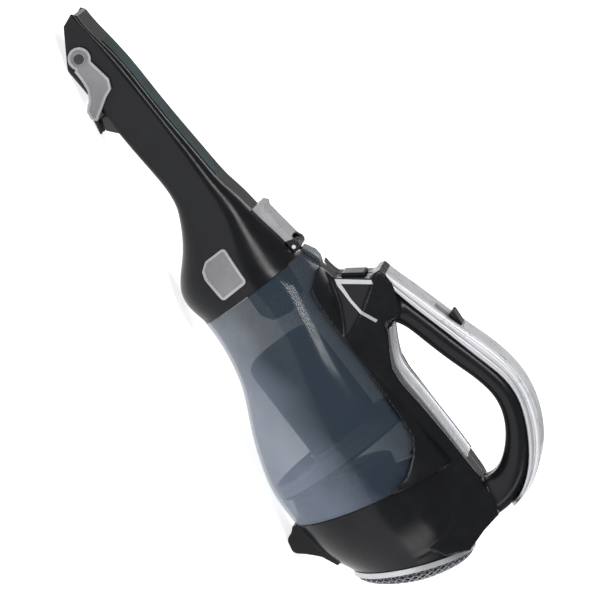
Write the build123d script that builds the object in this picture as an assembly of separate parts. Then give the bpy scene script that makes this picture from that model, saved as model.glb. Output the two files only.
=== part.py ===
"""Cordless handheld vacuum with a long crevice nozzle, a see-through dust bowl and a loop handle.

Frame: +X points forward to the nozzle tip, +Y to the vacuum's left, +Z up from the floor that the
vacuum rests on with its heel and the lower lip of its nozzle.  The origin is under the middle of
the overall length.  Side-view places below are written as (distance forward of the heel, height)
and moved to the origin when the pieces are written.
"""

from build123d import *
from math import atan2, cos, degrees, pi, radians, sin
import os

# ---------------------------------------------------------------- driving dimensions, mm
HEEL_TO_ORIGIN = 180.0      # heel line to the middle of the overall length
TILT = 13.0                 # bowl and filter axis, nose down, degrees
SLIDE_TILT = 11.0           # direction in which the bowl slides off, nose down, degrees
WALL = 2.6                  # housing wall
BOWL_WALL = 2.4
NOZZLE_WALL = 2.2
GAP = 0.35                  # running gap between pieces that move apart
BODY_FRONT = 11.0           # front edge of the rear housing
BOWL_HALF_WIDTH = 60.0
SLIDE_HALF_WIDTH = 62.0     # the housing stands clear of the bowl's shoulders as it slides

GRIP_WIDTH = 33.0
SPINE_WIDTH = 34.6

MOTOR_Z = 54.0
MOTOR_RADIUS = 20.0
MOTOR_REAR = -36.0
MOTOR_FRONT = 1.0
SHAFT_RADIUS = 1.6
FAN_RADIUS = 36.0
FAN_BLADES = 11

CELL_RADIUS = 9.1
CELL_LENGTH = 50.0

DRUM_RADIUS = 29.5          # pre-filter drum
DRUM_LENGTH = 92.0
PLEATS = 22

HINGE = (202.5, 97.5)       # nozzle hinge
HINGE_EYE = 4.2
PIN_RADIUS = 1.5

BRUSH_PIVOT = (393.0, 12.5)
BRUSH_ARM = 2.6             # thickness of the brush yoke's side arms

BUTTON_TRAVEL = 2.5
SWITCH_TRAVEL = 8.0
RELEASE_TRAVEL = 3.0

OUT = "parts"


# ---------------------------------------------------------------- helpers
def point(place, y=0.0):
    """A side-view place as a point in space."""
    return Vector(place[0], y, place[1])


def section_plane(low, high):
    """The plane across the vacuum that holds a low and a high side-view place, facing forward."""
    rise = (point(high) - point(low)).normalized()
    middle = (point(high) + point(low)) * 0.5
    return Plane(origin=middle, x_dir=(0, 1, 0), z_dir=(rise.Z, 0, -rise.X))


def span(low, high):
    return (point(high) - point(low)).length


def oval(low, high, half_width, inset=0.0):
    """An elliptical section between two side-view places."""
    return section_plane(low, high) * Ellipse(half_width - inset, span(low, high) / 2 - inset)


def block(low, high, width, radius, inset=0.0):
    """A rounded rectangular section between two side-view places."""
    height = span(low, high) - 2 * inset
    wide = width - 2 * inset
    corner = max(min(radius - inset, wide / 2 - 0.3, height / 2 - 0.3), 0.6)
    return section_plane(low, high) * RectangleRounded(wide, height, corner)


def side_face(places):
    """A face in the XZ plane from straight runs between side-view places."""
    return make_face(Polyline([point(place) for place in places], close=True))


def side_slab(places, half_width, y=0.0):
    """Side-view outline made solid across the vacuum, centred on y."""
    face = side_face(places)
    return Pos(0, y, 0) * extrude(face, amount=half_width, dir=(0, 1, 0), both=True)


def across(place, radius, y_low, y_high):
    """A cylinder along Y at a side-view place."""
    middle = (y_low + y_high) / 2
    return Pos(place[0], middle, place[1]) * Rot(90, 0, 0) * Cylinder(radius, y_high - y_low)


def along(z, radius, x_low, x_high, y=0.0):
    """A cylinder along X."""
    return Pos((x_low + x_high) / 2, y, z) * Rot(0, 90, 0) * Cylinder(radius, x_high - x_low)


def box_between(low, high):
    size = [high[i] - low[i] for i in range(3)]
    middle = [(high[i] + low[i]) / 2 for i in range(3)]
    return Pos(*middle) * Box(*size)


def mirrored(shape):
    return mirror(shape, about=Plane.XZ)


def write(name, shape):
    moved = Pos(-HEEL_TO_ORIGIN, 0, 0) * shape
    solids = moved.solids()
    result = solids[0] if len(solids) == 1 else Compound(children=solids)
    result.label = name
    export_step(result, os.path.join(OUT, name + ".step"))


# Bowl frame: U runs forward along the tilted axis, V is up across it.
BOWL_CENTRE = (55.0, 62.0)


def in_bowl(u, v):
    """Side-view place of a point given along and across the bowl axis."""
    turn = radians(TILT)
    x = BOWL_CENTRE[0] + u * cos(turn) + v * sin(turn)
    z = BOWL_CENTRE[1] - u * sin(turn) + v * cos(turn)
    return (x, z)


def bowl_plane(u, v=0.0):
    turn = radians(TILT)
    place = in_bowl(u, v)
    return Plane(origin=point(place), x_dir=(0, 1, 0), z_dir=(cos(turn), 0, -sin(turn)))


SLIDE_DIR = Vector(cos(radians(SLIDE_TILT)), 0, -sin(radians(SLIDE_TILT)))


# ---------------------------------------------------------------- outer envelope
# Bowl and rear barrel are one smooth shell: (low place, high place, half width).
BOWL_SECTIONS = [
    (in_bowl(128.4, -23.2), in_bowl(128.4, 68.7), 44.0),
    (in_bowl(112, -23.6), in_bowl(112, 73.6), 47.0),
    (in_bowl(93, -26.2), in_bowl(93, 73.9), 50.5),
    (in_bowl(74, -31.4), in_bowl(74, 73.2), 54.0),
    (in_bowl(55, -40.2), in_bowl(55, 72.5), 57.0),
    (in_bowl(37, -48.9), in_bowl(37, 71.9), 59.0),
    (in_bowl(18, -56.0), in_bowl(18, 71.2), BOWL_HALF_WIDTH),
    (in_bowl(-1, -61.3), in_bowl(-1, 70.6), BOWL_HALF_WIDTH),
    (in_bowl(-22, -62.6), in_bowl(-22, 69.8), BOWL_HALF_WIDTH),
]
BARREL_SECTIONS = [
    ((-3.0, 12.5), (-4.0, 137.0), 58.0),
    ((-22.0, 21.0), (-32.0, 134.0), 51.0),
]
VENT_LOW = (-39.0, 33.5)
VENT_HIGH = (-55.5, 124.5)
VENT_HALF_WIDTH = 42.0
VENT_DEPTH = 13.0
RING_DEPTH = 4.0
PAST_VENT = ((-48, 38), (-66, 120), 39.0)   # carries a cavity out through the vent


def envelope(inset=0.0):
    rows = BOWL_SECTIONS + BARREL_SECTIONS + [(VENT_LOW, VENT_HIGH, VENT_HALF_WIDTH)]
    if inset:
        rows = rows + [PAST_VENT]
    return loft([oval(low, high, half, inset) for low, high, half in rows])


def slide_core(extra):
    """The space that the bowl sweeps as it slides off, grown by extra all round."""
    low, high = in_bowl(-24, -62.8), in_bowl(-24, 69.8)
    face = bowl_plane(-24, 3.5) * Ellipse(SLIDE_HALF_WIDTH + extra, span(low, high) / 2 + extra)
    start = Pos(*(SLIDE_DIR * -60)) * face
    return extrude(start, amount=250, dir=SLIDE_DIR)


OUTER = envelope()
INNER = envelope(WALL)
FRONT_HALF = box_between((BODY_FRONT, -90, -20), (400, 90, 220))
REAR_HALF = box_between((-120, -90, -20), (BODY_FRONT, 90, 220))


# ---------------------------------------------------------------- housing
UPPER_OUTLINE = [
    (183, 109.3), (172, 114), (169.5, 115), (159.5, 140), (162, 144), (162, 149), (157, 151.5),
    (146, 153), (126, 150), (124.5, 143), (126, 136), (118, 136.5), (104, 132), (92, 129.3), (80, 130.6),
    (60, 136.2), (30, 143.6), (8, 148.5), (-8, 152), (-41, 154), (-47, 139), (-55, 125), (-50, 108),
    (-20, 90), (9, 61), (11, 61), (12.2, 82), (14.5, 97), (20, 110), (30, 118.6), (40, 122.6), (50, 122.4),
    (100, 113.5), (140, 104.6), (160, 100.8), (172, 100.6),
]
# Half widths of the upper body at some heights.
UPPER_WIDTHS = [(88, 46), (104, 42), (118, 36), (132, 28.5), (144, 21.5), (158, 17)]
# Half widths seen from above: the body narrows to a tongue over the bowl's front.
TONGUE = [(90, 52), (110, 49), (128, 40), (144, 30), (158, 22.5), (170, 17.5), (180, 12.5), (186, 8)]

# Handle sections: (inner edge place, outer edge place), front root to rear root.
GRIP_SECTIONS = [
    ((124, 137), (151, 149.5)),
    ((112, 148.5), (126, 162)),
    ((96, 157), (106, 172.8)),
    ((76, 168), (84, 184.4)),
    ((58, 178.6), (62, 196)),
    ((38, 185.8), (38, 203.6)),
    ((18, 183.8), (12, 201)),
    ((4, 177.2), (-8, 194)),
    ((-7, 168.4), (-26, 182.5)),
    ((-12.4, 159), (-38, 166)),
    ((-11.5, 148), (-43, 149)),
    ((-6, 134), (-46, 132)),
]
# Spine sections: (seat on the grip, outer edge), from the front boss to the rear root.
SPINE_SECTIONS = [
    ((156, 147), (157.5, 151.5)),
    ((144, 152.8), (147, 157.4)),
    ((126, 161.6), (130, 167.4)),
    ((106, 172.4), (110, 178.6)),
    ((84, 184), (88, 192)),
    ((62, 195.6), (64, 204.8)),
    ((38, 203.2), (38, 211.3)),
    ((12, 200.6), (9, 208.6)),
    ((-8, 193.6), (-13, 199.4)),
    ((-26, 182.2), (-30, 184.6)),
    ((-37.4, 166), (-40.4, 166.4)),
]


def upper_profile(inset=0.0):
    """Side walls of the upper body: its outline from the front, crossed with the one from above."""
    right = [Vector(-70, w - inset, z) for z, w in UPPER_WIDTHS]
    left = [Vector(-70, inset - w, z) for z, w in reversed(UPPER_WIDTHS)]
    sides = [Spline(right), Line(right[-1], left[0]), Spline(left), Line(left[-1], right[0])]
    bar = extrude(make_face(Wire(sides)), amount=270, dir=(1, 0, 0))
    near = [Vector(x, w - inset, 60) for x, w in TONGUE]
    far = [Vector(x, inset - w, 60) for x, w in reversed(TONGUE)]
    tail = [Vector(-80, inset - 52, 60), Vector(-80, 52 - inset, 60)]
    plan = [Spline(near), Line(near[-1], far[0]), Spline(far), Line(far[-1], tail[0]), Line(tail[0], tail[1]),
            Line(tail[1], near[0])]
    return bar & extrude(make_face(Wire(plan)), amount=120, dir=(0, 0, 1))


def upper_body(inset=0.0):
    face = side_face(UPPER_OUTLINE)
    if inset:
        face = offset(face, amount=-inset)
    slab = extrude(face, amount=50, dir=(0, 1, 0), both=True)
    return slab & upper_profile(inset)


def handle(inset=0.0):
    rows = GRIP_SECTIONS
    return loft([block(low, high, GRIP_WIDTH, 11, inset) for low, high in rows])


def heel():
    outline = [(11, 14), (11, 7.8), (6.4, 5), (4.6, 1.6), (2.5, 0), (-7, 0), (-9.4, 2), (-12, 7.5),
               (-15.7, 13.6), (-19, 18.5), (-30, 27), (-20, 40), (11, 40)]
    return side_slab(outline, 21)


RAMP_LOW = (169.5, 115.0)
RAMP_HIGH = (159.5, 140.0)
RAMP_LEAN = degrees(atan2(RAMP_LOW[0] - RAMP_HIGH[0], RAMP_HIGH[1] - RAMP_LOW[1]))


def ramp_plane():
    """Plane on the ramp's face, Z pointing out of it and Y up along it."""
    up = (point(RAMP_HIGH) - point(RAMP_LOW)).normalized()
    middle = (point(RAMP_HIGH) + point(RAMP_LOW)) * 0.5
    return Plane(origin=middle, x_dir=(0, 1, 0), z_dir=(up.Z, 0, -up.X))


def spine_plane():
    """Plane on the spine at the switch, X along the slide and Z pointing out of the handle."""
    turn = radians(28.0)
    return Plane(origin=Vector(110, 0, 178.6), x_dir=(cos(turn), 0, -sin(turn)),
                 z_dir=(sin(turn), 0, cos(turn)))


def release_slot(grow):
    return ramp_plane() * Pos(0, 0, -4) * Box(21 + 2 * grow, 17 + 2 * grow, 16)


def switch_slot(grow):
    return spine_plane() * Pos(0, 0, -8) * Box(22 + 2 * grow, 12 + 2 * grow, 24)


JACK_PLACE = (-6.0, 140.0)


def behind_vent(grow):
    """Everything behind the rear opening of the barrel, and a hair of the barrel's edge."""
    half_high = span(VENT_LOW, VENT_HIGH) / 2 + grow
    face = section_plane(VENT_LOW, VENT_HIGH) * Pos(0, 0, 0.2) * Ellipse(VENT_HALF_WIDTH + grow, half_high)
    return extrude(face, amount=-25)


SCREWS = [(146.0, 141.0), (-34.0, 139.0), (-1.0, 8.0)]
BOSS_RADIUS = 4.6


def housing_screws():
    screws = []
    for place in SCREWS:
        screws.append(across(place, 1.7, -14, 8) + across(place, 3.2, -16, -14))
    return screws


def screw_bosses():
    posts = [across(place, BOSS_RADIUS, -40, 40) for place in SCREWS[:2]]
    return upper_body() & Compound(children=posts)


def housing():
    grip = handle()
    upper = upper_body()
    saddle = (slide_core(3.0) & side_slab(UPPER_OUTLINE, 60)) - REAR_HALF
    barrel = OUTER & REAR_HALF
    shell = barrel + upper + saddle + grip + heel()
    shell = shell - (INNER & box_between((-200, -90, -20), (BODY_FRONT + 4, 90, 220)))
    shell = shell - upper_body(WALL) - handle(WALL)
    shell = shell - behind_vent(0.9) + screw_bosses()
    for place in SCREWS:
        shell = shell - across(place, 1.8, -15, 8.2) - across(place, 3.5, -60, -14)
    shell = shell - (slide_core(GAP) & FRONT_HALF)
    shell = shell - release_slot(GAP) - switch_slot(GAP)
    shell = shell - across(JACK_PLACE, 4.6, -60, -12)
    return shell


def housing_halves(shell):
    left = shell & box_between((-120, 0, -20), (400, 90, 240))
    right = shell & box_between((-120, -90, -20), (400, 0, 240))
    return left, right


def largest(shape):
    return max(shape.solids(), key=lambda solid: solid.volume)


# ---------------------------------------------------------------- handle and body trims
def spine_layer(start, end, width):
    """Part of the spine's depth, from its seat on the grip (0) to its outer edge (1)."""
    sections = []
    for seat, edge in SPINE_SECTIONS:
        low = (seat[0] + (edge[0] - seat[0]) * start, seat[1] + (edge[1] - seat[1]) * start)
        high = (seat[0] + (edge[0] - seat[0]) * end, seat[1] + (edge[1] - seat[1]) * end)
        sections.append(block(low, high, width, 2.6))
    return loft(sections)


def spine_band(grip, upper):
    """Silver band between the black grip and the pearl cap, narrower where the groove runs."""
    band = largest(spine_layer(-0.15, 0.34, SPINE_WIDTH) - grip - upper)
    return largest(band - switch_slot(GAP))


def spine_cap(grip, upper, band):
    """Pearl-coloured cap along the back of the handle, with a shallow recess at the switch."""
    cap = spine_layer(0.44, 1.0, SPINE_WIDTH - 1.4) + spine_layer(0.2, 0.7, SPINE_WIDTH - 4.0)
    cap = largest(largest(cap) - grip - upper - band)
    recess = spine_plane() * Pos(4, 0, 3.2) * Box(37, 18, 8)
    return largest(cap - recess - switch_slot(GAP))


OPENING_LOWER = [(118, 136.5), (104, 132), (92, 129.3), (80, 130.6), (60, 136.2), (30, 143.6), (8, 148.5)]


def opening_trim():
    """Silver strip laid along the body under the handle opening."""
    low = [point(place) for place in OPENING_LOWER]
    high = [point((x, z + 2.2)) for x, z in OPENING_LOWER]
    sides = [Spline(low), Line(low[-1], high[-1]), Spline(list(reversed(high))), Line(high[0], low[0])]
    face = make_face(Wire(sides))
    return largest(extrude(face, amount=15, dir=(0, 1, 0), both=True) - upper_body())


SIDE_TRIM = [
    (169, 115.6), (158.3, 141.2), (155.2, 141.2), (164.2, 118.8), (151, 122.4), (141, 127), (130, 134),
    (129, 132.2), (140, 125.2), (150, 120.6), (164, 115.8),
]


def side_trim():
    """Silver line inlaid on both sides of the handle's front root."""
    skin = upper_profile(-0.4) - upper_profile(0.0)
    strips = skin & side_slab(SIDE_TRIM, 60)
    return Compound(children=sorted(strips.solids(), key=lambda solid: -solid.volume)[:2])


# ---------------------------------------------------------------- motor, fan and exhaust
def bulkhead():
    """Front wall of the motor bay, with the fan's collar nested in the bowl's mouth."""
    wall = (INNER & box_between((4, -90, -20), (7, 90, 220)))
    wall = wall - along(MOTOR_Z, 27, 0, 12)
    collar = along(MOTOR_Z, FAN_RADIUS + 5, 7, 29) - along(MOTOR_Z, FAN_RADIUS + 2.6, 6, 26.6)
    collar = collar - along(MOTOR_Z, 16, 20, 40)
    for turn in range(4):
        bar = Pos(28, 0, MOTOR_Z) * Rot(45 * turn, 0, 0) * Box(1.8, 33, 1.6)
        collar = collar + bar
    return wall + collar


def motor_plate():
    """Rear frame that holds the motor can in the housing."""
    plate = OUTER & box_between((-21, -90, -20), (-18, 90, 220))
    plate = plate & envelope(WALL + 0.1)
    plate = plate - along(MOTOR_Z, MOTOR_RADIUS + 0.1, -30, -10)
    plate = plate - box_between((-30, -40, MOTOR_Z + 23), (-10, 40, 150))
    for side in (-1, 1):
        for z in (MOTOR_Z - 9, MOTOR_Z + 9):
            plate = plate - box_between((-30, side * 31 - 7, z - 7), (-10, side * 31 + 7, z + 7))
    return largest(plate)


def motor_can():
    can = along(MOTOR_Z, MOTOR_RADIUS, MOTOR_REAR + 3, MOTOR_FRONT)
    can = can - along(MOTOR_Z, MOTOR_RADIUS - 1.4, MOTOR_REAR, MOTOR_FRONT - 1.6)
    can = can - along(MOTOR_Z, 4.0, MOTOR_REAR, MOTOR_FRONT + 5)
    for turn in range(4):
        angle = radians(90 * turn + 45)
        y, z = 12 * cos(angle), MOTOR_Z + 12 * sin(angle)
        can = can - along(z, 2.5, MOTOR_FRONT - 4, MOTOR_FRONT + 2, y)
    return can


def motor_bush(x_low, x_high, outer):
    return along(MOTOR_Z, outer, x_low, x_high) - along(MOTOR_Z, SHAFT_RADIUS + 0.05, x_low - 1, x_high + 1)


def motor_end_bell():
    bell = along(MOTOR_Z, MOTOR_RADIUS, MOTOR_REAR, MOTOR_REAR + 3)
    bell = bell - along(MOTOR_Z, 4.0, MOTOR_REAR - 2, MOTOR_REAR + 5)
    for side in (-1, 1):
        bell = bell + box_between((MOTOR_REAR - 4, side * 13 - 1.2, MOTOR_Z - 2.5),
                                  (MOTOR_REAR, side * 13 + 1.2, MOTOR_Z + 2.5))
    return bell


def motor_magnets():
    ring = along(MOTOR_Z, MOTOR_RADIUS - 1.4, -30, -4) - along(MOTOR_Z, MOTOR_RADIUS - 4.8, -31, -3)
    return ring - box_between((-40, -6, 0), (10, 6, 120))


def motor_shaft():
    return along(MOTOR_Z, SHAFT_RADIUS, MOTOR_REAR - 1.5, 25)


def armature():
    core = along(MOTOR_Z, MOTOR_RADIUS - 5.4, -28, -8)
    for turn in range(8):
        slot = Pos(-18, 0, MOTOR_Z) * Rot(45 * turn, 0, 0) * Pos(0, 0, 12.5) * Box(24, 3.2, 7)
        core = core - slot
    return core - along(MOTOR_Z, SHAFT_RADIUS, -60, 30)


def impeller():
    disc = along(MOTOR_Z, FAN_RADIUS, 11, 12.6) + along(MOTOR_Z, 6, 11, 23)
    for turn in range(FAN_BLADES):
        angle = 360.0 * turn / FAN_BLADES
        blade = Pos(0, 20, 0) * Rot(0, 0, 32) * Box(1.6, 30, 9)
        blade = Rot(0, 90, 0) * Rot(0, 0, angle) * Pos(0, 0, 4.3) * blade
        disc = disc + Pos(12.5, 0, MOTOR_Z) * blade
    disc = disc & along(MOTOR_Z, FAN_RADIUS, 10, 30)
    return disc - along(MOTOR_Z, SHAFT_RADIUS, 0, 40)


def vent_plane():
    return section_plane(VENT_LOW, VENT_HIGH)


def vent_dome(inset=0.0):
    high = span(VENT_LOW, VENT_HIGH) / 2 - 1.5 - inset
    wide = VENT_HALF_WIDTH - 1.5 - inset
    rings = [Pos(0, 0, 2) * Ellipse(wide, high)] if inset else []
    for turn in (0, 18, 36, 54, 70, 82):
        size = cos(radians(turn))
        depth = (VENT_DEPTH - inset) * sin(radians(turn))
        rings.append(Pos(0, 0, -depth) * Ellipse(wide * size, high * size))
    return vent_plane() * Pos(0, 0, -RING_DEPTH - 0.15) * loft(rings)


def vent_ring():
    half_high = span(VENT_LOW, VENT_HIGH) / 2
    ring = extrude(Ellipse(VENT_HALF_WIDTH + 0.6, half_high + 0.6), -RING_DEPTH)
    ring = ring - extrude(Ellipse(VENT_HALF_WIDTH - 3.4, half_high - 3.4), -RING_DEPTH)
    return vent_plane() * Pos(0, 0, -0.1) * ring


def vent_grille():
    """Domed exhaust cover with rows of diamond holes that follow its rim."""
    dome = vent_dome() - vent_dome(2.2)
    half_high = span(VENT_LOW, VENT_HIGH) / 2 - 1.5
    half_wide = VENT_HALF_WIDTH - 1.5
    holes = []
    for row, count in ((0.86, 30), (0.70, 26), (0.53, 18), (0.34, 10)):
        for step in range(count):
            angle = 2 * pi * (step + 0.5 * (count % 4 == 2)) / count
            x, y = half_wide * row * cos(angle), half_high * row * sin(angle)
            holes.append(Pos(x, y, -14) * Rot(0, 0, degrees(angle) + 45) * Box(3.0, 3.0, 40))
    return dome - vent_plane() * Compound(children=holes)


def exhaust_foam():
    pad = extrude(Ellipse(VENT_HALF_WIDTH - 4.2, span(VENT_LOW, VENT_HIGH) / 2 - 4.2), -3.5)
    return vent_plane() * Pos(0, 0, -0.2) * pad


# ---------------------------------------------------------------- battery and electrics
CELLS = [(-7.5, 90.5), (-26.5, 90.5), (-7.5, 109.6), (-26.5, 109.6)]


def battery_cells():
    return [across(place, CELL_RADIUS, -CELL_LENGTH / 2, CELL_LENGTH / 2) for place in CELLS]


def battery_tabs():
    tabs = []
    for side in (-1, 1):
        y = side * (CELL_LENGTH / 2 + 0.25)
        for x in (-7.5, -26.5):
            tabs.append(box_between((x - 3, y - 0.2, 86), (x + 3, y + 0.2, 114)))
    return tabs


def battery_tray():
    tray = box_between((-37, -24.5, 77.5), (3, 24.5, 100))
    for place in CELLS:
        tray = tray - across(place, CELL_RADIUS + 0.1, -60, 60)
    return largest(tray - box_between((-60, -18, 90.5), (60, 18, 120)))


def control_board():
    board = box_between((-34, -19, 120.2), (2, 19, 121.8))
    board = board + box_between((-30, -15, 121.8), (-22, -5, 125))
    board = board + box_between((-12, 2, 121.8), (-2, 14, 124))
    return board


def charge_jack():
    jack = across(JACK_PLACE, 4.3, -25.5, -14) - across(JACK_PLACE, 2.75, -26, -16)
    return jack + across(JACK_PLACE, 1.0, -24, -16)


def switch_body():
    return spine_plane() * Pos(0, 0, -11) * Box(20, 9, 6.5)


def switch_knob():
    """Wedge-shaped thumb knob, steep toward the nozzle, with a stem down to the switch."""
    wedge = make_face(Polyline((-9, 0), (3, 0), (3.2, 4.6), (1.6, 5.4), (-9, 1.6), close=True))
    top = extrude(Plane.XZ * wedge, amount=7, both=True)
    stem = Pos(-2, 0, -3.6) * Box(6, 7, 7.8)
    return spine_plane() * Pos(-4, 0, 0.2) * (top + stem)


def release_button():
    cap = Box(21, 17, 6)
    cap = fillet(cap.faces().sort_by(Axis.Z)[-1].edges(), 1.2)
    return ramp_plane() * Pos(0, 0, -0.4) * cap


def coil(radius, wire, pitch, height):
    path = Helix(pitch, height, radius)
    start = path @ 0
    profile = Plane(origin=start, z_dir=path % 0) * Circle(wire)
    return sweep(profile, path=path)


def release_spring():
    return ramp_plane() * Pos(0, 0, -13) * coil(3.0, 0.45, 2.2, 9)


# ---------------------------------------------------------------- bowl
SEAM_LOW = in_bowl(128.4, -23.2)
SEAM_HIGH = in_bowl(128.4, 68.7)
BOWL_REAR = BODY_FRONT + 0.4


def dust_bowl():
    bowl = OUTER & box_between((BOWL_REAR, -90, -20), (400, 90, 220))
    bowl = largest(bowl)
    bowl = bowl - envelope(BOWL_WALL)
    bowl = bowl - bowl_plane(130, 20) * Box(160, 160, 3.4)
    lug_outline = [(181, 112.4), (190, 105), (196, 100.4), HINGE, (203.5, 101.4), (198, 103.6), (190, 110)]
    lug = side_slab(lug_outline, 7.5) + across(HINGE, HINGE_EYE, -7.5, 7.5)
    lug = lug - envelope(0.5)
    lug = lug - across(HINGE, PIN_RADIUS, -20, 20)
    return largest(largest(bowl) + lug)


def hinge_pin():
    return across(HINGE, PIN_RADIUS, -15.5, 15.5)


# ---------------------------------------------------------------- filter
FLANGE_REAR = -10.6
FLANGE_FRONT = -0.8
DRUM_V = 9.0


def filter_plane(u):
    return bowl_plane(u, DRUM_V)


def drum(radius, length):
    body = Cylinder(radius, length, align=(Align.CENTER, Align.CENTER, Align.MIN))
    return fillet(body.edges().sort_by(Axis.Z)[-1], 10)


def filter_frame():
    """Oval flange that seals in the bowl, with the neck that holds the screen."""
    low, high = -57.0, 64.2
    disc = bowl_plane(FLANGE_REAR, (low + high) / 2) * extrude(Ellipse(56.0, (high - low) / 2), 3)
    rim = bowl_plane(FLANGE_REAR, (low + high) / 2) * extrude(Ellipse(56.0, (high - low) / 2), 9.8)
    rim = rim - bowl_plane(FLANGE_REAR, (low + high) / 2) * extrude(Ellipse(53.6, (high - low) / 2 - 2.4), 9.8)
    neck = filter_plane(FLANGE_REAR) * extrude(Circle(DRUM_RADIUS + 2.2), 12)
    return disc + rim + neck - filter_plane(FLANGE_REAR - 1) * extrude(Circle(DRUM_RADIUS), 20)


def prefilter_screen():
    outer = drum(DRUM_RADIUS - 0.1, DRUM_LENGTH)
    inner = drum(DRUM_RADIUS - 1.5, DRUM_LENGTH - 1.4)
    cup = outer - inner
    return filter_plane(FLANGE_REAR + 3) * cup


def pleated_filter():
    spots = []
    for step in range(PLEATS * 2):
        radius = 25.0 if step % 2 else 17.5
        angle = pi * step / PLEATS
        spots.append((radius * cos(angle), radius * sin(angle)))
    star = make_face(Polyline(*spots, close=True)) - Circle(14.5)
    body = extrude(star, 74)
    cap = Pos(0, 0, 74) * extrude(Circle(25.5), 3)
    return filter_plane(FLANGE_REAR + 3) * (body + cap)


def filter_gasket():
    low, high = -57.4, 64.6
    plane = bowl_plane(FLANGE_REAR - 2.2, (low + high) / 2)
    ring = extrude(Ellipse(56.2, (high - low) / 2), 2.2) - extrude(Ellipse(51, (high - low) / 2 - 5.2), 2.2)
    return plane * ring


# ---------------------------------------------------------------- nozzle
# Nozzle sections from the seam to the tip: (low place, high place, width, corner radius).
NOZZLE_SECTIONS = [
    (SEAM_LOW, SEAM_HIGH, 88.0, 43.6),
    ((193, 4.4), (211, 93.6), 82.0, 38),
    ((212, 7.5), (225, 87.2), 73.0, 30),
    ((227, 16.6), (237, 81.8), 64.0, 22),
    ((244, 24.6), (251, 76.6), 56.0, 16),
    ((262, 29.6), (266, 69.8), 50.0, 11),
    ((284, 27.4), (286, 63.2), 45.0, 8),
    ((312, 19.4), (312, 55.8), 42.0, 6),
    ((346, 10.4), (346, 46.6), 40.0, 5),
    ((382, 0.6), (382, 37.2), 39.5, 5),
    ((428, -12.0), (428, 23.2), 39.0, 5),
]
MOUTH_CUT = [(360, -30), (360, 0), (388, 0), (419, 11.6), (425, 20), (419.6, 26.8), (419.6, 70), (480, 70), (480, -30)]


def nozzle_body(inset=0.0):
    rows = NOZZLE_SECTIONS
    return loft([block(low, high, width, radius, inset) for low, high, width, radius in rows])


def d_outline(grow=0.0):
    """D-shaped side button: flat toward the seam, rounded lower front."""
    places = [(189.5, 38), (209, 31.5), (215, 31.8), (221, 37), (225, 54), (195.5, 60.5)]
    radii = 3.0
    face = make_face(FilletPolyline(*[point(place) for place in places], radius=radii, close=True))
    return offset(face, amount=grow) if grow else face


def side_pocket():
    return extrude(d_outline(GAP), amount=30, dir=(0, 1, 0))


def latch_button():
    skin = nozzle_body(-1.4) - nozzle_body(3.2)
    plug = Pos(0, 28, 0) * extrude(d_outline(), amount=30, dir=(0, 1, 0))
    return largest(skin & plug)


def latch_spring():
    return Pos(207, 32.6, 46) * Rot(90, 0, 0) * coil(3.2, 0.45, 2.2, 5.6)


def nozzle_shell():
    shell = nozzle_body() - nozzle_body(NOZZLE_WALL)
    shell = shell - side_slab(MOUTH_CUT, 60)
    seam_gap = bowl_plane(128.4, 20) * Pos(0, 0, 0) * Box(160, 160, 0.8)
    shell = shell - seam_gap
    shell = shell - Pos(0, 25, 0) * side_pocket() - mirrored(Pos(0, 25, 0) * side_pocket())
    shell = shell - across(HINGE, 7.2, -16, 16) - side_slab([(190, 94), (203, 92), (208, 110), (190, 110)], 8.5)
    shell = shell - across(BRUSH_PIVOT, 2.6, -40, 40)
    return largest(shell)


def nozzle_inlay():
    """Tinted strip let into the top of the nozzle."""
    skin = nozzle_body(-0.5) - nozzle_body(-0.02)
    outline = [(398, 24), (398, 60), (276, 90), (274, 60)]
    return largest(skin & side_slab(outline, 13.5))


def hinge_strap():
    """Ribbed cover strip over the hinge, with the nozzle's two hinge eyes."""
    outline = [(240, 80), (241.5, 86), (239, 89.6), (235.5, 88.6), (208, 98.8), (204.5, 101.4), HINGE, (205, 86)]
    strap = side_slab(outline, 14) - nozzle_body(-0.05)
    strap = strap + across(HINGE, HINGE_EYE, -14, -7.8) + across(HINGE, HINGE_EYE, 7.8, 14)
    strap = strap - across(HINGE, HINGE_EYE + 3.2, -7.8, 7.8)
    for step in range(6):
        place = (211 + 4 * step, 98.9 - 1.49 * step)
        strap = strap - across(place, 0.7, -12, 12)
    return largest(strap - across(HINGE, PIN_RADIUS + 0.08, -20, 20))


def nozzle_gasket():
    plane = bowl_plane(128.4 + 0.6, 22.75)
    ring = extrude(Ellipse(40.9, 42.9), 2.4) - extrude(Ellipse(38.0, 40.0), 2.4)
    return largest((plane * ring) & box_between((100, -60, 0), (300, 60, 90)))


def inlet_duct():
    """Wall across the nozzle's base with the spout that throws dust down into the bowl."""
    plate = bowl_plane(128.4 + 3.2, 22.75) * extrude(Ellipse(40.2, 42.2), 2.4)
    spout = side_slab([(191, 50), (166, 54.6), (159.4, 62), (160, 78), (166, 82.4), (196, 79.2)], 22)
    spout = spout - side_slab([(200, 53.2), (184, 53.4), (167, 56.8), (150, 62), (150, 70), (160, 76), (166, 80),
                               (200, 77.2)], 19.8)
    plate = plate - bowl_plane(126, 34) * Box(39.6, 23, 30)
    duct = plate + spout - across(HINGE, 7.6, -17, 17)
    return largest(duct)


FLAP_PIVOT = (164.1, 76.0)


def inlet_flap():
    flap = box_between((163.5, -18.8, 60), (164.7, 18.8, 76))
    return flap + across(FLAP_PIVOT, 1.2, -18.8, 18.8)


# ---------------------------------------------------------------- flip brush
def cross_bar():
    return side_slab([(346, 5), (349, 1.4), (355, 0.7), (360, 3.6), (352, 6.6)], 20.6 + BRUSH_ARM)


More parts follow.
